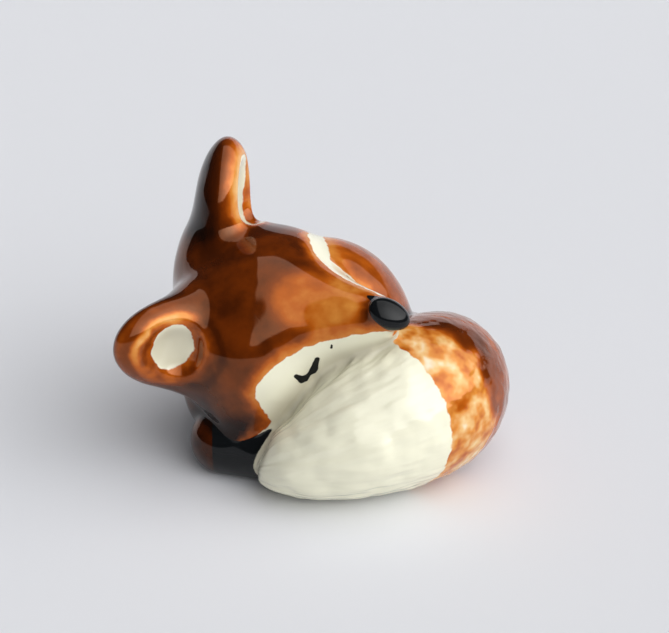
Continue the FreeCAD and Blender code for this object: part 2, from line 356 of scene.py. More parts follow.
class Group:
    """A geometry node group with named sockets, which other trees can call."""

    def __init__(self, name: str, inputs: Mapping[str, Kind], outputs: Mapping[str, Kind]) -> None:
        """Make an empty group.

        Args:
            name: The group's name.
            inputs: What goes in, by name.
            outputs: What comes out, by name.
        """
        self.tree = bpy.data.node_groups.new(name, "GeometryNodeTree")
        for direction, sockets in (("INPUT", inputs), ("OUTPUT", outputs)):
            for title, kind in sockets.items():
                self.tree.interface.new_socket(name=title, in_out=direction, socket_type=kind.value)
        self._source = self.tree.nodes.new("NodeGroupInput")
        self._sink = self.tree.nodes.new("NodeGroupOutput")

    def amount(self, title: str) -> Amount:
        """Give the number that goes in under a name."""
        return Amount(self._source.outputs[title])

    def arrow(self, title: str) -> Arrow:
        """Give the vector that goes in under a name."""
        return Arrow(self._source.outputs[title])

    def wire(self, title: str) -> Wire:
        """Give whatever goes in under a name."""
        return Wire(self._source.outputs[title])

    def give(self, title: str, value: Wire) -> None:
        """Lead a value out under a name."""
        plug(self._sink.inputs[title], value)

    def call(self, point: Arrow) -> Mapping[str, Amount]:
        """Use the group in another tree.

        Args:
            point: The place that the group is asked about.

        Returns:
            Its numbers, by name.
        """
        node = point.tree.nodes.new("GeometryNodeGroup")
        node.node_tree = self.tree
        plug(node.inputs[0], point)
        return {socket.name: Amount(socket) for socket in node.outputs if socket.name}


@dataclass(frozen=True)
class Egg:
    """An egg of clay."""

    centre: Triple
    half_sizes: Triple
    speck: float = 1e-3

    def distance(self, point: Arrow) -> Amount:
        """Give the distance from the egg's surface.

        Args:
            point: The place.

        Returns:
            The distance, negative inside.
        """
        offset = point - self.centre
        near = (offset / self.half_sizes).length().most(self.speck)
        steep = (offset / tuple(half * half for half in self.half_sizes)).length()
        return near * (near - 1.0) / steep.most(self.speck * self.speck)


@dataclass(frozen=True)
class Roll:
    """A roll of clay with two round ends, or a brush stroke as wide as that."""

    root: Triple
    tip: Triple
    root_radius: float
    tip_radius: float

    def distance(self, point: Arrow) -> Amount:
        """Give the distance from the roll's surface.

        Args:
            point: The place.

        Returns:
            The distance, negative inside.
        """
        axis = Vector(self.tip) - Vector(self.root)
        taper = self.root_radius - self.tip_radius
        slope = taper / math.sqrt(axis.length_squared - taper * taper)
        offset = point - self.root
        along = offset.dot(tuple(axis.normalized()))
        aside = (offset - self.arrow_along(along, axis.normalized())).length()
        share = (along - aside * slope).ramp(0.0, axis.length, smooth=False)
        return (offset - self.arrow_along(share, axis)).length() + share * taper - self.root_radius

    @staticmethod
    def arrow_along(amount: Amount, axis: Vector) -> Arrow:
        """Give an axis made as long as an amount."""
        return Arrow.joined(*(amount * part for part in axis))

    def flattened(self, side: Triple) -> "Roll":
        """Give the roll as seen along a direction, for a stroke laid on from that side."""
        ends = [tuple(Vector(end) - Vector(end).project(Vector(side))) for end in (self.root, self.tip)]
        return Roll(*ends, self.root_radius, self.tip_radius)


@dataclass(frozen=True)
class Stroke:
    """A brush stroke through several places, with half its width at each."""

    places: tuple[Triple, ...]
    half_widths: tuple[float, ...]

    def rolls(self) -> list[Roll]:
        """Give the stroke as a chain of rolls."""
        ends = list(zip(self.places, self.half_widths))
        return [Roll(root, tip, wide, narrow) for (root, wide), (tip, narrow) in zip(ends, ends[1:])]


def seen_along(point: Arrow, side: Triple) -> Arrow:
    """Give a place as seen along a direction, with its depth left out."""
    along = Vector(side).normalized()
    return point - Roll.arrow_along(point.dot(tuple(along)), along)


@dataclass(frozen=True)
class Stance:
    """Where a sub-assembly's own axes stand: turn, pitch and roll in degrees."""

    centre: Triple
    turn: float
    pitch: float
    roll: float

    def local(self, point: Arrow) -> Arrow:
        """Give a place in the stance's own axes.

        Args:
            point: The place in the axes that the stance stands in.

        Returns:
            The same place in the stance's axes.
        """
        node = point.tree.nodes.new("ShaderNodeVectorRotate")
        node.rotation_type = "EULER_XYZ"
        node.invert = True
        plug(node.inputs["Vector"], point - self.centre)
        plug(node.inputs["Rotation"], tuple(map(math.radians, (self.roll, self.pitch, self.turn))))
        return Arrow(node.outputs[0])


@dataclass(frozen=True)
class Ear:
    """An ear: a blade with a swelling at its root, a bowl and a white patch in the bowl."""

    stance: Stance
    blade: Egg
    bowl: Egg
    patch: Egg
    lip_start: float

    # Where the glaze runs thin, where it pools, and the painted shade on the back of the blade
    lip_gap: float = 0.0
    lip_width: float = 0.9
    lip_side: float = 1.0
    lip_wander: Unevenness = Unevenness(0.5, 2.0, 1.3)
    lip_edge: Fade = Fade(-0.35, 0.1)
    lip_core: float = 0.3
    lip_front: Fade = Fade(3.2, 1.8)
    lip_rise: float = 1.2
    lip_across: Fade = Fade(-4.5, 1.5)
    dim_side: float = 0.4
    inner_pooling: float = 0.2
    back: Fade = Fade(0.7, -0.5)
    back_shade_height: Fade = Fade(0.5, 3.5)
    back_shade_depth: float = 0.6

    # The root of the blade and the joints
    swelling: Egg = Egg((-1.0, 0.0, -1.5), (3.2, 4.8, 4.6))
    root_blend: float = 4.0
    lip_blend: float = 1.2

    def distance(self, head_point: Arrow) -> Amount:
        """Give the distance from the ear's surface.

        Args:
            head_point: The place in the head's axes.

        Returns:
            The distance, negative inside.
        """
        point = self.stance.local(head_point)
        solid = self.blade.distance(point).least(self.swelling.distance(point), self.root_blend)
        return solid.most(self.bowl.distance(point) * -1.0, self.lip_blend)

    def patch_edge(self, head_point: Arrow) -> Amount:
        """Give the distance from the edge of the white patch, negative inside."""
        return self.patch.distance(self.stance.local(head_point))

    def lip(self, head_point: Arrow) -> Amount:
        """Give how much thinner the glaze runs on the bowl's outer lip.

        Args:
            head_point: The place in the head's axes.

        Returns:
            Up to 1 on the lip, less than 0 where the glaze pools inside it, and less than 0 behind the ear,
            where darker glaze is painted shade.
        """
        point = self.stance.local(head_point)
        forward, side, height = point.parts()
        outside = self.bowl.distance(point) + self.lip_wander.at(point) - self.lip_gap
        lip = self.lip_edge.of(outside) * outside.ramp(self.lip_width, self.lip_width * self.lip_core)
        outer = self.lip_front.of(forward)
        outer = outer * height.ramp(self.lip_start - self.lip_rise, self.lip_start + self.lip_rise)
        outer = outer * (self.lip_across.of(side * self.lip_side) * (1.0 - self.dim_side) + self.dim_side)
        # Darker glaze on the upper back of the blade is painted shade.
        behind = self.back.of(forward) * self.back_shade_height.of(height)
        return lip * (outer * (1.0 + self.inner_pooling) - self.inner_pooling) - behind * self.back_shade_depth


@dataclass(frozen=True)
class Head:
    """The head in its own axes: X along the snout, Y to its left and Z to the crown."""

    stance: Stance = Stance((-5.9, -3.0, 12.6), -31.0, -13.0, 35.0)
    skull: Egg = Egg((0.0, 0.0, 0.0), (7.4, 8.4, 7.0))
    right_cheek: Roll = Roll((0.5, -3.5, -0.6), (0.2, -9.0, -3.4), 6.0, 2.4)
    left_cheek: Roll = Roll((0.5, 3.5, -0.6), (1.0, 7.4, -1.2), 6.0, 2.8)
    muzzle: Roll = Roll((2.0, 0.0, 0.4), (13.5, 0.3, 0.8), 6.2, 1.85)
    nose_stance: Stance = Stance((15.0, 0.15, 1.55), 0.0, 50.0, 0.0)
    nose: Egg = Egg((0.0, 0.0, 0.0), (1.9, 1.3, 0.85))
    nose_paint: Egg = Egg((0.0, 0.0, 0.3), (2.1, 1.45, 1.6))
    nose_corner_paint: Roll = Roll((12.9, 1.15, 2.6), (14.6, 0.8, 2.5), 0.2, 0.8)
    right_ear: Ear = Ear(
        Stance((-2.8, -5.0, 4.4), -31.0, 1.0, 39.0),
        blade=Egg((0.0, 0.0, 1.7), (2.3, 4.3, 6.2)),
        bowl=Egg((3.0, 0.2, 3.1), (2.1, 3.0, 3.5)),
        patch=Egg((1.6, 0.4, 3.0), (3.0, 2.3, 1.8)),
        lip_start=1.2,
        lip_gap=0.55)
    left_ear: Ear = Ear(
        Stance((-4.4, 5.2, 3.2), 14.0, 28.0, -38.0),
        blade=Egg((0.0, 0.0, 4.5), (2.7, 4.7, 6.6)),
        bowl=Egg((2.8, -0.6, 5.5), (2.1, 3.0, 4.4)),
        patch=Egg((1.6, -0.6, 5.9), (3.0, 2.4, 3.8)),
        lip_start=2.0,
        lip_width=2.1,
        lip_side=-1.0)

    # White, black and the painted highlight on the bridge, laid on as thinner, lighter glaze
    right_cheek_paint: Roll = Roll((6.3, 0.0, -1.0), (13.5, 0.0, -0.5), 3.6, 1.85)
    left_cheek_paint: Roll = Roll((6.3, 0.0, -0.2), (13.3, 0.0, 0.6), 3.6, 1.4)
    throat_paint: Roll = Roll((8.4, 0.0, -5.2), (13.0, 0.0, -2.6), 3.6, 2.6)
    cheek_paint_back: float = 3.8
    corner_blend: float = 0.9
    eye_paint: Stroke = Stroke(
        ((6.50, -5.55, 0.50), (6.60, -5.36, -0.28), (7.06, -4.87, -0.55),
         (7.65, -4.38, -0.06), (8.27, -3.90, 0.75)),
        (0.20, 0.34, 0.42, 0.36, 0.24))
    speck_paint: Stroke = Stroke(((9.70, -3.0, 1.2), (9.86, -2.9, 1.45)), (0.11, 0.08))
    eye_side: Triple = (0.7, -0.71, 0.0)
    bridge_highlight_patch: Egg = Egg((8.6, -0.4, 4.2), (5.4, 3.2, 2.9))
    bridge_highlight_edge: Fade = Fade(0.7, -1.3)
    cheek_side: Triple = (0.0, 1.0, 0.0)
    bridge_half_width: float = 0.75

    # The joints
    cheek_blend: float = 3.0
    muzzle_blend: float = 4.7
    nose_blend: float = 1.1
    nose_paint_blend: float = 0.3
    stroke_blend: float = 0.25
    ear_blend: float = 4.0

    def forms(self, point: Arrow) -> dict[str, Amount]:
        """Give the distances from the head's forms.

        Args:
            point: The place.

        Returns:
            The distance from each form, by node.
        """
        local = self.stance.local(point)
        skull = self.skull.distance(local)
        for cheek in (self.right_cheek, self.left_cheek):
            skull = skull.least(cheek.distance(local), self.cheek_blend)
        return {
            "head": skull,
            "muzzle": self.muzzle.distance(local),
            "nose": self.nose.distance(self.nose_stance.local(local)),
            "right_ear": self.right_ear.distance(local),
            "left_ear": self.left_ear.distance(local),
        }

    def whole(self, forms: Mapping[str, Amount]) -> Amount:
        """Blend the head's forms into one.

        Args:
            forms: The distance from each form, by node.

        Returns:
            The distance from the whole head.
        """
        solid = forms["head"].least(forms["muzzle"], self.muzzle_blend)
        solid = solid.least(forms["right_ear"], self.ear_blend)
        solid = solid.least(forms["left_ear"], self.ear_blend)
        return solid.least(forms["nose"], self.nose_blend)

    def white_edge(self, point: Arrow) -> Amount:
        """Find the edge of the white paint.

        Args:
            point: The place.

        Returns:
            The distance from the edge, negative inside.
        """
        local = self.stance.local(point)
        side = seen_along(local, self.cheek_side)
        ahead, across, _ = local.parts()
        right = self.right_cheek_paint.distance(side).most(across + self.bridge_half_width)
        right = right.most(ahead * -1.0 + self.cheek_paint_back, self.corner_blend)
        left = self.left_cheek_paint.distance(side).most(across * -1.0 + self.bridge_half_width)
        return right.least(left).least(self.throat_paint.distance(side))

    def ear_edge(self, point: Arrow) -> Amount:
        """Give the distance from the edge of the ears' white patches, negative inside."""
        local = self.stance.local(point)
        return self.right_ear.patch_edge(local).least(self.left_ear.patch_edge(local))

    def bridge(self, point: Arrow) -> Amount:
        """Give 1 on the bridge of the snout, where thinner, lighter glaze paints a highlight, and 0 away
        from it.
        """
        return self.bridge_highlight_edge.of(self.bridge_highlight_patch.distance(self.stance.local(point)))

    def lip(self, point: Arrow) -> Amount:
        """Give up to 1 on the lips of the ears' bowls, and less than 0 where the glaze pools by them and
        where painted shade darkens their backs.
        """
        local = self.stance.local(point)
        return self.right_ear.lip(local) + self.left_ear.lip(local)

    def black_edge(self, point: Arrow) -> Amount:
        """Find the edge of the black of the eyes and the nose.

        Args:
            point: The place.

        Returns:
            The distance from the edge, negative inside.
        """
        local = self.stance.local(point)
        edge = self.nose_paint.distance(self.nose_stance.local(local))
        edge = edge.least(self.nose_corner_paint.distance(local), self.nose_paint_blend)
        near, far = (1.0, 1.0, 1.0), (1.0, -1.0, 1.0)
        eye, speck = self.eye_paint.rolls(), self.speck_paint.rolls()
        for mirror, rolls in ((near, eye + speck), (far, eye)):
            mirrored = local * mirror
            behind = mirrored.dot(self.eye_side) * -1.0
            flat = seen_along(mirrored, self.eye_side)
            for roll in rolls:
                laid = roll.flattened(self.eye_side).distance(flat).most(behind)
                edge = edge.least(laid, self.stroke_blend)
        return edge


@dataclass(frozen=True)
class Tail:
    """The brush, which sweeps round an ellipse on the foot plane."""

    ring_x: float = -1.8
    ring_y: float = -3.2
    ring_half_length: float = 12.2
    ring_half_depth: float = 9.7
    root_angle: float = 50.0
    widest_angle: float = -33.0
    tip_angle: float = -108.0
    wrap_angle: float = 120.0
    radius: float = 7.45
    root_radius: float = 2.6
    root_height: float = 5.0
    tip_height: float = 2.6
    foot_depth: float = 0.2
    fullness: float = 1.4
    steadiness: float = 0.8
    white_angle: float = -49.3
    white_turn: float = 0.05
    length_per_degree: float = 0.2

    # The dabs and the modelled fur
    dab_wander: Unevenness = Unevenness(0.5, 0.0, 1.6)
    dab_edge: Fade = Fade(4.7, 3.1)
    strands: Unevenness = Unevenness(0.7, 2.0, 1.0)
    strand_stretch: float = 0.35
    open_strands: float = 0.4
    lumps: Unevenness = Unevenness(0.3, 1.0, 0.65)
    root_lumps: Unevenness = Unevenness(0.8, 1.0, 0.16)
    fur_edge: Fade = Fade(1.0, -1.2)

    def angle(self, point: Arrow) -> Amount:
        """Give a place's angle on the ring.

        Args:
            point: The place.

        Returns:
            The angle in degrees, from past the tip to the root.
        """
        x, y, _ = point.parts()
        across = (x - self.ring_x) / self.ring_half_length
        deep = (y - self.ring_y) / self.ring_half_depth
        turned = Amount.of(point.tree, "ARCTAN2", deep, across) * math.degrees(1.0)
        past = Amount.of(point.tree, "GREATER_THAN", turned, self.wrap_angle)
        return turned - past * math.degrees(math.tau)

    def ring(self, point: Arrow) -> tuple[Arrow, Amount, Amount]:
        """Give the middle of the brush nearest a place, its radius, and how near the tip is.

        Args:
            point: The place.

        Returns:
            The middle, the radius there, and the share of the way to the tip.
        """
        angle = self.angle(point).least(self.root_angle)
        to_tip = angle.ramp(self.widest_angle, 2.0 * self.tip_angle - self.widest_angle, smooth=False) * 2.0
        to_root = angle.ramp(self.widest_angle, self.root_angle, smooth=False)
        tip_share, root_share = to_tip * to_tip, to_root * to_root
        radius = root_share * (self.root_radius - self.radius) + self.radius
        top = self.radius - self.foot_depth
        height = tip_share * (self.tip_height - top) + root_share * (self.root_height - top) + top
        turned = angle * math.radians(1.0)
        x = Amount.of(point.tree, "COSINE", turned) * self.ring_half_length + self.ring_x
        y = Amount.of(point.tree, "SINE", turned) * self.ring_half_depth + self.ring_y
        return Arrow.joined(x, y, height), radius, to_tip

    def forms(self, point: Arrow) -> dict[str, Amount]:
        """Give the distance from the brush.

        Args:
            point: The place.

        Returns:
            The distance, by node.
        """
        middle, radius, to_tip = self.ring(point)
        reach = (point - middle).length() / radius
        taper = to_tip.power(self.fullness)
        return {"tail": radius * ((reach * reach + taper).root() - 1.0) * self.steadiness}

    def root_edge(self, point: Arrow) -> Amount:
        """Give how far a place lies towards the root from where the white tip begins."""
        height = point.parts()[2]
        return (self.angle(point) - height * self.white_turn - self.white_angle) * self.length_per_degree

    def dabs(self, point: Arrow) -> Amount:
        """Give 1 where the root's glaze is dabbed on unevenly, and 0 away from there."""
        return self.dab_edge.of(self.root_edge(point) + self.dab_wander.at(point))

    def fur(self, point: Arrow, beside_head: Amount) -> Amount:
        """Give the height of the modelled fur.

        Args:
            point: The place.
            beside_head: 1 where the head lies against the brush, and 0 away from it.

        Returns:
            The height in millimetres.
        """
        middle, _, _ = self.ring(point)
        height = (point - middle).parts()[2]
        flat = (1.0, 1.0, 0.0)
        centre = (self.ring_x, self.ring_y, 0.0)
        outward = ((point - centre) * flat).length() - ((middle - centre) * flat).length()
        around = Amount.of(point.tree, "ARCTAN2", height, outward) * self.radius
        along = self.angle(point) * self.length_per_degree
        strands = self.strands.at(Arrow.joined(along * self.strand_stretch, around))
        fur = self.lumps.at(point) + strands * (beside_head + self.open_strands)
        white = self.fur_edge.of(self.root_edge(point))
        return fur * white + self.root_lumps.at(point) * (1.0 - white)


@dataclass(frozen=True)
class CurledBody:
    """The curled trunk with the haunch, the near shoulder and the folded forepaw."""

    trunk: Egg = Egg((0.0, 0.0, 8.6), (8.8, 8.3, 10.4))
    haunch: Egg = Egg((7.0, 2.2, 4.8), (7.4, 6.8, 5.2))
    shoulder: Egg = Egg((-6.7, -2.8, 6.2), (6.4, 6.4, 6.6))
    forepaw: Roll = Roll((-8.9, -7.8, 2.8), (-2.4, -10.2, 2.8), 3.2, 2.8)
    shoulder_blend: float = 4.0
    haunch_blend: float = 3.0
    forepaw_blend: float = 1.0
    paw_paint_start: float = -9.9

    def forms(self, point: Arrow) -> dict[str, Amount]:
        """Give the distances from the body's forms.

        Args:
            point: The place.

        Returns:
            The distance from each form, by node.
        """
        return {
            "trunk": self.trunk.distance(point),
            "haunch": self.haunch.distance(point),
            "shoulder": self.shoulder.distance(point),
            "forepaw": self.forepaw.distance(point),
        }

    def whole(self, forms: Mapping[str, Amount]) -> Amount:
        """Blend the body's forms into one.

        Args:
            forms: The distance from each form, by node.

        Returns:
            The distance from the whole body.
        """
        solid = forms["trunk"].least(forms["shoulder"], self.shoulder_blend)
        solid = solid.least(forms["haunch"], self.haunch_blend)
        return solid.least(forms["forepaw"], self.forepaw_blend)

    def paw_edge(self, point: Arrow) -> Amount:
        """Give how far a place lies ahead of where the black of the paw begins."""
        return self.paw_paint_start - point.parts()[0]


def nearest(distances: Sequence[Amount]) -> Amount:
    """Find the nearest of several forms.

    Args:
        distances: The distance from each form.

    Returns:
        The smallest distance.
    """
    smallest = distances[0]
    for distance in distances[1:]:
        smallest = smallest.least(distance)
    return smallest


@dataclass(frozen=True)
class Piece:
    """One lump of clay that stands for a node of the frame."""

    node: str
    slot: Slot
    voxel: float


@dataclass(frozen=True)
class Figurine:
    """The whole fox: its sub-assemblies, its seams and the pieces that they part."""

    head: Head = Head()
    tail: Tail = Tail()
    body: CurledBody = CurledBody()
    pieces: tuple[Piece, ...] = (
        Piece("trunk", Slot.AMBER, 0.17),
        Piece("haunch", Slot.AMBER, 0.17),
        Piece("shoulder", Slot.AMBER, 0.15),
        Piece("forepaw", Slot.BLACK, 0.13),
        Piece("tail", Slot.WHITE, 0.15),
        Piece("head", Slot.AMBER, 0.14),
        Piece("muzzle", Slot.AMBER, 0.12),
        Piece("nose", Slot.BLACK, 0.07),
        Piece("right_ear", Slot.AMBER, 0.12),
        Piece("left_ear", Slot.AMBER, 0.12),
    )

    # Where the lumps are luted together
    chin_blend: float = 2.4
    seat_blend: float = 1.0
    foot_blend: float = 0.35
    seam_lap: float = 0.35
    seam_dip: float = 0.015

    # How a piece is cut from the clay and smoothed
    box_margin: float = 5.0
    slope_step: float = 0.06
    crest_step: float = 0.5
    surface_moves: int = 2
    longest_move: float = 0.12
    wobble: Unevenness = Unevenness(0.3, 1.0, 0.12)

    # Where one glaze ends and the next begins
    seam_overlap: float = 0.4
    head_edge: Fade = Fade(-1.5, 1.5)
    tail_edge: Fade = Fade(0.3, -0.6)
    off_tail: Fade = Fade(-0.3, 0.6)
    beside_head: Fade = Fade(2.6, 0.4)

    # How deep the glaze lies, with a painted highlight on the snout's bridge
    head_bath: float = 0.9
    body_bath: float = 0.68
    toward_foot: Fade = Fade(10.5, 1.0)
    toward_foot_depth: float = 0.65
    groove: Fade = Fade(1.3, 0.1)
    groove_bath: float = 0.3
    bridge_highlight_thinning: float = 0.42
    even_crest: float = 0.22
    crest_thinning: float = 0.28
    lip_thinning: float = 0.48

    @property
    def unit(self) -> float:
        """Metres in one of the forms' millimetres, from the frame's own length."""
        low, high = CAD_BOX
        return round((high.x - low.x) / FIGURINE_LENGTH, UNIT_DIGITS)

    def form_group(self) -> Group:
        """Make the group that gives the distances from the forms.

        Returns:
            The group, which takes a place and gives the distance from the blended whole and each form.
        """
        distances = {"Whole": Kind.AMOUNT} | {piece.node: Kind.AMOUNT for piece in self.pieces}
        group = Group("fox_forms", {"Place": Kind.ARROW}, distances)
        point = group.arrow("Place")
        head, tail, body = (part.forms(point) for part in (self.head, self.tail, self.body))
        whole = self.head.whole(head).least(tail["tail"], self.chin_blend)
        whole = whole.least(self.body.whole(body), self.seat_blend)
        group.give("Whole", whole.most(point.parts()[2] * -1.0, self.foot_blend))
        for name, distance in (head | tail | body).items():
            group.give(name, distance)
        return group

    def paint_group(self, forms: Group) -> Group:
        """Make the group that gives where the paint goes, and the relief.

        Args:
            forms: The group of the forms.

        Returns:
            The group, which takes a place and gives every trace.
        """
        traces = {trace.value: Kind.AMOUNT for trace in Trace}
        group = Group("fox_paint", {"Place": Kind.ARROW}, traces)
        point = group.arrow("Place")
        at = forms.call(point)
        head_parts = ("head", "muzzle", "nose", "right_ear", "left_ear")
        head = nearest([at[name] for name in head_parts])
        body = nearest([at[name] for name in ("trunk", "haunch", "shoulder", "forepaw")])
        on_tail = at["tail"] - head.least(body)
        on_head = head - at["tail"].least(body)
        cheeks = self.head.white_edge(point).most(on_head - self.seam_overlap)
        brush = self.tail.root_edge(point).most(on_tail - self.seam_overlap)
        group.give(Trace.WHITE_EDGE.value, cheeks.least(brush).least(self.head.ear_edge(point)))
        on_paw = at["forepaw"] - nearest([at["trunk"], at["shoulder"], at["tail"], head])
        paw = on_paw.most(self.body.paw_edge(point))
        group.give(Trace.BLACK_EDGE.value, self.head.black_edge(point).most(on_head).least(paw))
        crest = self.crest(forms, point, at["Whole"])
        group.give(Trace.CREST.value, crest)
        bath = self.head_edge.of(body - head) * (self.head_bath - self.body_bath) + self.body_bath
        thinned = (crest - self.even_crest) * self.crest_thinning + self.head.lip(point) * self.lip_thinning
        # The bridge of the snout is made lighter: a painted highlight.
        thinned = thinned + self.head.bridge(point) * self.bridge_highlight_thinning
        # The glaze grows deeper and darker towards the foot, off the brush.
        deepened = self.toward_foot.of(point.parts()[2]) * self.toward_foot_depth * self.off_tail.of(on_tail)
        deepened = deepened + self.groove.of(self.head.ear_edge(point)) * self.groove_bath
        group.give(Trace.DEPTH.value, bath + deepened - thinned)
        within_tail = self.tail_edge.of(on_tail)
        group.give(Trace.DABS.value, self.tail.dabs(point) * within_tail)
        fur = self.tail.fur(point, self.beside_head.of(head - at["tail"])) * within_tail
        group.give(Trace.RELIEF.value, fur + self.wobble.at(point))
        return group

    def crest(self, forms: Group, point: Arrow, here: Amount) -> Amount:
        """Give how sharply the surface bulges at a place.

        Args:
            forms: The group of the forms.
            point: The place.
            here: The distance from the whole at that place.

        Returns:
            The bulge for each millimetre, negative where the surface is hollow.
        """
        total = here * (-2.0 * len(AXES))
        for axis in AXES:
            for step in (axis * -self.crest_step, axis * self.crest_step):
                total = total + forms.call(point + tuple(step))["Whole"]
        return total / self.crest_step**2

    def piece_group(self, piece: Piece, forms: Group) -> Group:
        """Make the group that gives the distance from one piece.

        Args:
            piece: The piece, whose lap under its neighbours dips a little.
            forms: The group of the forms.

        Returns:
            The group, which takes a place and gives the distance.
        """
        group = Group(f"{piece.node}_piece", {"Place": Kind.ARROW}, {"Distance": Kind.AMOUNT})
        at = forms.call(group.arrow("Place"))
        others = nearest([at[other.node] for other in self.pieces if other != piece])
        beyond = at[piece.node] - others
        dipped = at["Whole"] + beyond.ramp(0.0, self.seam_lap, smooth=False) * self.seam_dip
        group.give("Distance", dipped.most(beyond - self.seam_lap))
        return group

    def slope(self, distance: Group, point: Arrow, title: str) -> Arrow:
        """Give the direction in which a distance grows.

        Args:
            distance: The group that gives the distance.
            point: The place.
            title: The distance's name in the group.

        Returns:
            The slope, from a small step both ways along each axis.
        """
        rises = []
        for axis in AXES:
            step = tuple(axis * self.slope_step)
            rises.append(distance.call(point + step)[title] - distance.call(point - step)[title])
        return Arrow.joined(*rises).scaled(0.5 / self.slope_step)

    def sculpt_tree(self, piece: Piece, forms: Group, paint: Group) -> Group:
        """Make the modifier's tree that sculpts one piece.

        Args:
            piece: The piece.
            forms: The group of the forms.
            paint: The group of the paint and the relief.

        Returns:
            The tree, with named inputs for the block of clay, the grain and the finish.
        """
        inputs = {"Block": Kind.GEOMETRY, "Low Corner": Kind.ARROW, "High Corner": Kind.ARROW,
                  "Voxel": Kind.AMOUNT, "Unit": Kind.AMOUNT, "Finish": Kind.MATERIAL}
        group = Group(f"sculpt_{piece.node}", inputs, {"Piece": Kind.GEOMETRY})
        tree = group.tree
        distance = self.piece_group(piece, forms)
        point = Arrow(tree.nodes.new("GeometryNodeInputPosition").outputs[0])

        cube = tree.nodes.new("GeometryNodeVolumeCube")
        low, high = group.arrow("Low Corner"), group.arrow("High Corner")
        plug(cube.inputs["Density"], distance.call(point)["Distance"] * -1.0)
        plug(cube.inputs["Background"], -1.0)
        plug(cube.inputs["Min"], low)
        plug(cube.inputs["Max"], high)
        for axis, side in zip("XYZ", (high - low).parts()):
            plug(cube.inputs[f"Resolution {axis}"], Amount.of(tree, "CEIL", side / group.amount("Voxel")))
        skin = tree.nodes.new("GeometryNodeVolumeToMesh")
        plug(skin.inputs["Volume"], Wire(cube.outputs[0]))
        plug(skin.inputs["Threshold"], 0.0)
        clay = Wire(skin.outputs[0])

        for _ in range(self.surface_moves):
            slope = self.slope(distance, point, "Distance")
            height = distance.call(point)["Distance"].least(self.longest_move).most(-self.longest_move)
            step = slope.scaled(height * -1.0 / slope.dot(slope))
            clay = through(clay, "GeometryNodeSetPosition", Offset=step)
        for title, mark in paint.call(point).items():
            clay = through(clay, "GeometryNodeStoreNamedAttribute", Name=title, Value=mark)
        normal = self.slope(forms, point, "Whole")
        raised = normal.scaled(recalled(tree, Trace.RELIEF) / normal.length())
        clay = through(clay, "GeometryNodeSetPosition", Offset=raised)

        smoothed = through(clay, "GeometryNodeSetShadeSmooth")
        sized = through(smoothed, "GeometryNodeTransform", Scale=group.amount("Unit"))
        real = through(sized, "GeometryNodeRealizeInstances")
        group.give("Piece", through(real, "GeometryNodeSetMaterial", Material=group.wire("Finish")))
        return group

    def sculpt(self, finishes: Mapping[Slot, bpy.types.Material]) -> list[bpy.types.Object]:
        """Sculpt every piece in place of its node.

        Args:
            finishes: The material of each slot.

        Returns:
            The pieces.
        """
        forms = self.form_group()
        paint = self.paint_group(forms)
        made = []
        for piece in self.pieces:
            low, high = (corner / self.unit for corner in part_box(piece.node))
            margin = sum(AXES, Vector()) * self.box_margin
            sizes = {"Low Corner": low - margin, "High Corner": high + margin, "Voxel": piece.voxel,
                     "Unit": self.unit, "Finish": finishes[piece.slot]}
            tree = self.sculpt_tree(piece, forms, paint)
            item = baked(piece.node + "_glazed", tree, sizes)
            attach(item, "root")
            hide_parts(piece.node)
            log.info("%s: %d faces", item.name, len(item.data.polygons))
            made.append(item)
        return made


def through(geometry: Wire, kind: str, **inputs: object) -> Wire:
    """Lead a geometry through one more node.

    Args:
        geometry: The geometry.
        kind: The node's type.
        **inputs: The node's other inputs, by name.

    Returns:
        The geometry that comes out.
    """
    node = geometry.tree.nodes.new(kind)
    for title, value in {"Geometry": geometry, **inputs}.items():
        plug(node.inputs[title], value)
    return Wire(node.outputs[0])


def recalled(tree: bpy.types.NodeTree, trace: Trace) -> Amount:
    """Read a number that the points remember.

    Args:
        tree: The tree that reads it.
        trace: What the number is.

    Returns:
        The number.
    """
    node = tree.nodes.new("GeometryNodeInputNamedAttribute")
    node.data_type = "FLOAT"
    plug(node.inputs["Name"], trace.value)
    return Amount(node.outputs[0])


def baked(name: str, group: Group, sizes: Mapping[str, object]) -> bpy.types.Object:
    """Run a tree with its named inputs and keep the result as a plain mesh.

    Args:
        name: The new object's name.
        group: The modifier's tree.
        sizes: A value for each named input but the first, the geometry.

    Returns:
        An object at the origin without modifiers.
    """
    seed = bpy.data.objects.new(name, bpy.data.meshes.new(name))
    bpy.context.scene.collection.objects.link(seed)
    modifier = seed.modifiers.new("Sculpt", "NODES")
    modifier.node_group = group.tree
    for socket in group.tree.interface.items_tree:
        if socket.in_out == "INPUT" and socket.name in sizes:
            modifier[socket.identifier] = sizes[socket.name]
    evaluated = seed.evaluated_get(bpy.context.evaluated_depsgraph_get())
    mesh = bpy.data.meshes.new_from_object(evaluated)
    mesh.name = name
    seed.modifiers.remove(modifier)
    seed.data = mesh
    return seed


@dataclass(frozen=True)
class Shade:
    """The colour that the amber glaze has at a depth."""

    depth: float
    colour: Colour


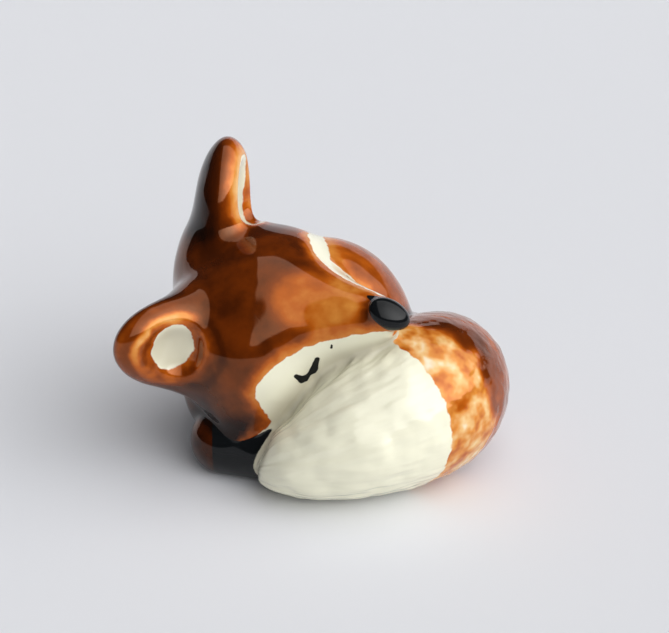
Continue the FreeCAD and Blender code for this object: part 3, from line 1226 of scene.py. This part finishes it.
@dataclass(frozen=True)
class Glaze:
    """The fired finish: porcelain, painted under a clear or an amber glaze."""

    slot: Slot
    roughness: float = 0.06
    refraction: float = 1.8
    amber_gloss: Colour = (1.0, 0.5, 0.28)
    white_gloss: Colour = (0.4, 0.4, 0.4)
    black_gloss: Colour = (0.22, 0.22, 0.22)

    # Amber, from bare crests to pools
    shades: tuple[Shade, ...] = (
        Shade(0.0, (0.87, 0.80, 0.62)),
        Shade(0.13, (0.80, 0.52, 0.22)),
        Shade(0.27, (0.68, 0.26, 0.045)),
        Shade(0.42, (0.46, 0.098, 0.006)),
        Shade(0.59, (0.20, 0.034, 0.002)),
        Shade(0.8, (0.06, 0.010, 0.001)),
        Shade(1.0, (0.012, 0.0035, 0.0015)))
    depth_share: float = 0.8
    depth_clouds: Unevenness = Unevenness(0.45, 3.0, 0.42)
    dab_clouds: Unevenness = Unevenness(0.6, 2.0, 1.2)
    dab_depth: float = 0.31
    pooled_gloss: Fade = Fade(0.9, 1.25)

    # White and black, the thin amber round the white, and painted shade greying the white in hollows
    white: Colour = (0.865, 0.845, 0.665)
    hollow_shade_white: Colour = (0.60, 0.565, 0.43)
    hollow: Fade = Fade(0.05, -0.75)
    white_wander: Unevenness = Unevenness(1.1, 2.0, 0.5)
    white_rim: Fade = Fade(0.06, -0.06)
    halo_wander: Unevenness = Unevenness(0.7, 1.0, 0.8)
    halo: Fade = Fade(0.0, 1.5)
    halo_depth: float = 0.45
    black: Colour = (0.006, 0.007, 0.008)
    black_wander: Unevenness = Unevenness(3.0, 1.0, 0.08)
    black_rim: Fade = Fade(0.04, -0.04)

    def material(self) -> bpy.types.Material:
        """Make the material of the slot.

        Returns:
            The material, with a Principled shader.
        """
        made = bpy.data.materials.new(self.slot.value)
        made.use_nodes = True
        tree = made.node_tree
        tree.nodes.clear()
        coordinate = tree.nodes.new("ShaderNodeTexCoord")
        point = Arrow(coordinate.outputs["Object"]).scaled(MILLIMETRES_IN_METRE)
        shader = tree.nodes.new("ShaderNodeBsdfPrincipled")
        colour, gloss = self.paint(tree, point)
        plug(shader.inputs["Base Color"], colour)
        plug(shader.inputs["Specular Tint"], gloss)
        plug(shader.inputs["Roughness"], self.roughness)
        plug(shader.inputs["IOR"], self.refraction)
        output = tree.nodes.new("ShaderNodeOutputMaterial")
        tree.links.new(shader.outputs[0], output.inputs["Surface"])
        return made

    def paint(self, tree: bpy.types.NodeTree, point: Arrow) -> tuple[Wire, Wire]:
        """Lay the glaze, the white and the black over the porcelain.

        Args:
            tree: The material's tree.
            point: The place in millimetres.

        Returns:
            The colour, and the colour of the gloss.
        """
        read = {trace: attribute(tree, trace) for trace in Trace if trace is not Trace.RELIEF}
        white_edge = read[Trace.WHITE_EDGE] + self.white_wander.at(point)
        halo = self.halo.of(white_edge + self.halo_wander.at(point))
        depth = read[Trace.DEPTH] + self.depth_clouds.at(point)
        depth = depth * (halo * (1.0 - self.halo_depth) + self.halo_depth)
        depth = depth + read[Trace.DABS] * (self.dab_clouds.at(point) - depth + self.dab_depth)
        glaze = shaded(depth * self.depth_share, self.shades)
        # The white greys in hollows: painted shade.
        white = mixed(self.hollow.of(read[Trace.CREST]), self.white, self.hollow_shade_white)
        whitened = self.white_rim.of(white_edge)
        blackened = self.black_rim.of(read[Trace.BLACK_EDGE] + self.black_wander.at(point))
        colour = mixed(blackened, mixed(whitened, glaze, white), self.black)
        gloss = mixed(self.pooled_gloss.of(depth), self.amber_gloss, self.black_gloss)
        gloss = mixed(blackened, mixed(whitened, gloss, self.white_gloss), self.black_gloss)
        return colour, gloss


def attribute(tree: bpy.types.NodeTree, trace: Trace) -> Amount:
    """Read a number that the points remember, in a material.

    Args:
        tree: The material's tree.
        trace: What the number is.

    Returns:
        The number.
    """
    node = tree.nodes.new("ShaderNodeAttribute")
    node.attribute_name = trace.value
    return Amount(node.outputs["Fac"])


def mixed(share: Amount, first: "Wire | Colour", second: "Wire | Colour") -> Wire:
    """Mix two colours.

    Args:
        share: How much of the second colour there is.
        first: A colour, plain or from a wire.
        second: The other colour.

    Returns:
        The mixed colour.
    """
    node = share.tree.nodes.new("ShaderNodeMix")
    node.data_type = "RGBA"
    plug(node.inputs[0], share)
    colour_slots = [slot for slot in node.inputs if slot.type == "RGBA"]
    for slot, colour in zip(colour_slots, (first, second)):
        plug(slot, colour if isinstance(colour, Wire) else (*colour, 1.0))
    return Wire(next(slot for slot in node.outputs if slot.type == "RGBA"))


def shaded(depth: Amount, shades: Sequence[Shade]) -> Wire:
    """Give the colour of the glaze at a depth.

    Args:
        depth: The depth.
        shades: Colours at several depths, the thinnest first.

    Returns:
        The colour.
    """
    node = depth.tree.nodes.new("ShaderNodeValToRGB")
    plug(node.inputs[0], depth)
    elements = node.color_ramp.elements
    while len(elements) < len(shades):
        elements.new(1.0)
    for element, shade in zip(elements, shades):
        element.position = shade.depth
        element.color = (*shade.colour, 1.0)
    return Wire(node.outputs[0])


@dataclass(frozen=True)
class Studio:
    """A pale sweep under a broad window of light, and the camera, in metres."""

    sweep_width: float = 3.0
    sweep_front: float = -1.6
    bend_start: float = 0.55
    bend_radius: float = 0.2
    sweep_top: float = 0.36
    bend_steps: int = 12
    sweep_colour: Colour = (0.76, 0.77, 0.805)
    sweep_roughness: float = 0.9

    # The window, by the direction that it lies in, and its light
    sky_light: float = 1.05
    beam_light: float = 3.05
    beam_side: Triple = (0.74, -0.56, 0.37)
    beam_spread: float = 4.5
    room_light: float = 0.03
    window_side: Fade = Fade(-0.22, -0.19)
    window_back: Fade = Fade(0.5, 0.47)
    window_foot: Fade = Fade(0.24, 0.27)
    shown_colour: Colour = (0.75, 0.76, 0.80)
    lamp_place: Triple = (0.75, -0.1, 0.75)
    lamp_size: float = 1.0
    lamp_power: float = 0.6

    # The camera
    aim: Triple = (0.00115, -0.0042, 0.0136)
    distance: float = 0.165
    elevation: float = 27.0
    view_width: float = 0.06095
    sensor_width: float = 36.0
    nearest_shown: float = 0.01

    def build(self) -> None:
        """Set the sweep, the lights and the camera."""
        self.sweep()
        self.sky()
        self.lamp()
        self.camera()
        bpy.context.scene.view_settings.view_transform = "Standard"

    def sweep(self) -> None:
        """Lay the pale paper, which rises behind the figurine."""
        profile = [(self.sweep_front, 0.0)]
        for step in range(self.bend_steps + 1):
            turn = math.pi / 2.0 * step / self.bend_steps
            profile.append((self.bend_start + self.bend_radius * math.sin(turn),
                            self.bend_radius * (1.0 - math.cos(turn))))
        profile.append((self.bend_start + self.bend_radius, self.sweep_top))
        half = self.sweep_width / 2.0
        points = [(side, y, z) for y, z in profile for side in (-half, half)]
        faces = [(start, start + 1, start + 3, start + 2) for start in range(0, len(points) - 2, 2)]
        mesh = bpy.data.meshes.new("sweep")
        mesh.from_pydata(points, [], faces)
        mesh.shade_smooth()
        paper = bpy.data.materials.new("paper")
        paper.use_nodes = True
        shader = paper.node_tree.nodes["Principled BSDF"]
        shader.inputs["Base Color"].default_value = (*self.sweep_colour, 1.0)
        shader.inputs["Roughness"].default_value = self.sweep_roughness
        mesh.materials.append(paper)
        sweep = bpy.data.objects.new("sweep", mesh)
        bpy.context.scene.collection.objects.link(sweep)

    def sky(self) -> None:
        """Light the room from the right and above, as a broad window does."""
        world = bpy.data.worlds.new("room")
        world.use_nodes = True
        tree = world.node_tree
        direction = Arrow(tree.nodes.new("ShaderNodeTexCoord").outputs["Generated"])
        across, back, rise = direction.parts()
        window = self.window_side.of(across) * self.window_back.of(back) * self.window_foot.of(rise)
        seen = Amount(tree.nodes.new("ShaderNodeLightPath").outputs["Is Camera Ray"])
        backdrop = tree.nodes["Background"]
        plug(backdrop.inputs["Color"], mixed(seen, (1.0, 1.0, 1.0), self.shown_colour))
        beam = direction.dot(self.beam_side).most(0.0).power(self.beam_spread) * self.beam_light
        light = window * (beam + self.sky_light) + self.room_light
        plug(backdrop.inputs["Strength"], light + seen * (1.0 - light))
        bpy.context.scene.world = world

    def lamp(self) -> None:
        """Hang a large soft lamp within the window."""
        lamp = bpy.data.lights.new("lamp", "AREA")
        lamp.shape = "SQUARE"
        lamp.size = self.lamp_size
        lamp.energy = self.lamp_power
        item = bpy.data.objects.new("lamp", lamp)
        item.location = self.lamp_place
        toward = Vector(self.aim) - Vector(self.lamp_place)
        item.rotation_euler = toward.to_track_quat("-Z", "Y").to_euler()
        bpy.context.scene.collection.objects.link(item)

    def camera(self) -> None:
        """Set the camera at the photograph's angle."""
        lens = bpy.data.cameras.new("camera")
        lens.sensor_width = self.sensor_width
        lens.lens = self.sensor_width * self.distance / self.view_width
        lens.clip_start = self.nearest_shown
        item = bpy.data.objects.new("camera", lens)
        rise = math.radians(self.elevation)
        back = Vector((0.0, -math.cos(rise), math.sin(rise)))
        item.location = Vector(self.aim) + back * self.distance
        item.rotation_euler = (-back).to_track_quat("-Z", "Y").to_euler()
        bpy.context.scene.collection.objects.link(item)
        bpy.context.scene.camera = item


def main() -> None:
    """Build the figurine in its studio."""
    logging.basicConfig(level=logging.INFO, format="%(name)s: %(message)s")
    finishes = {slot: Glaze(slot).material() for slot in Slot}
    Figurine().sculpt(finishes)
    Studio().build()


if __name__ == "__main__":
    main()
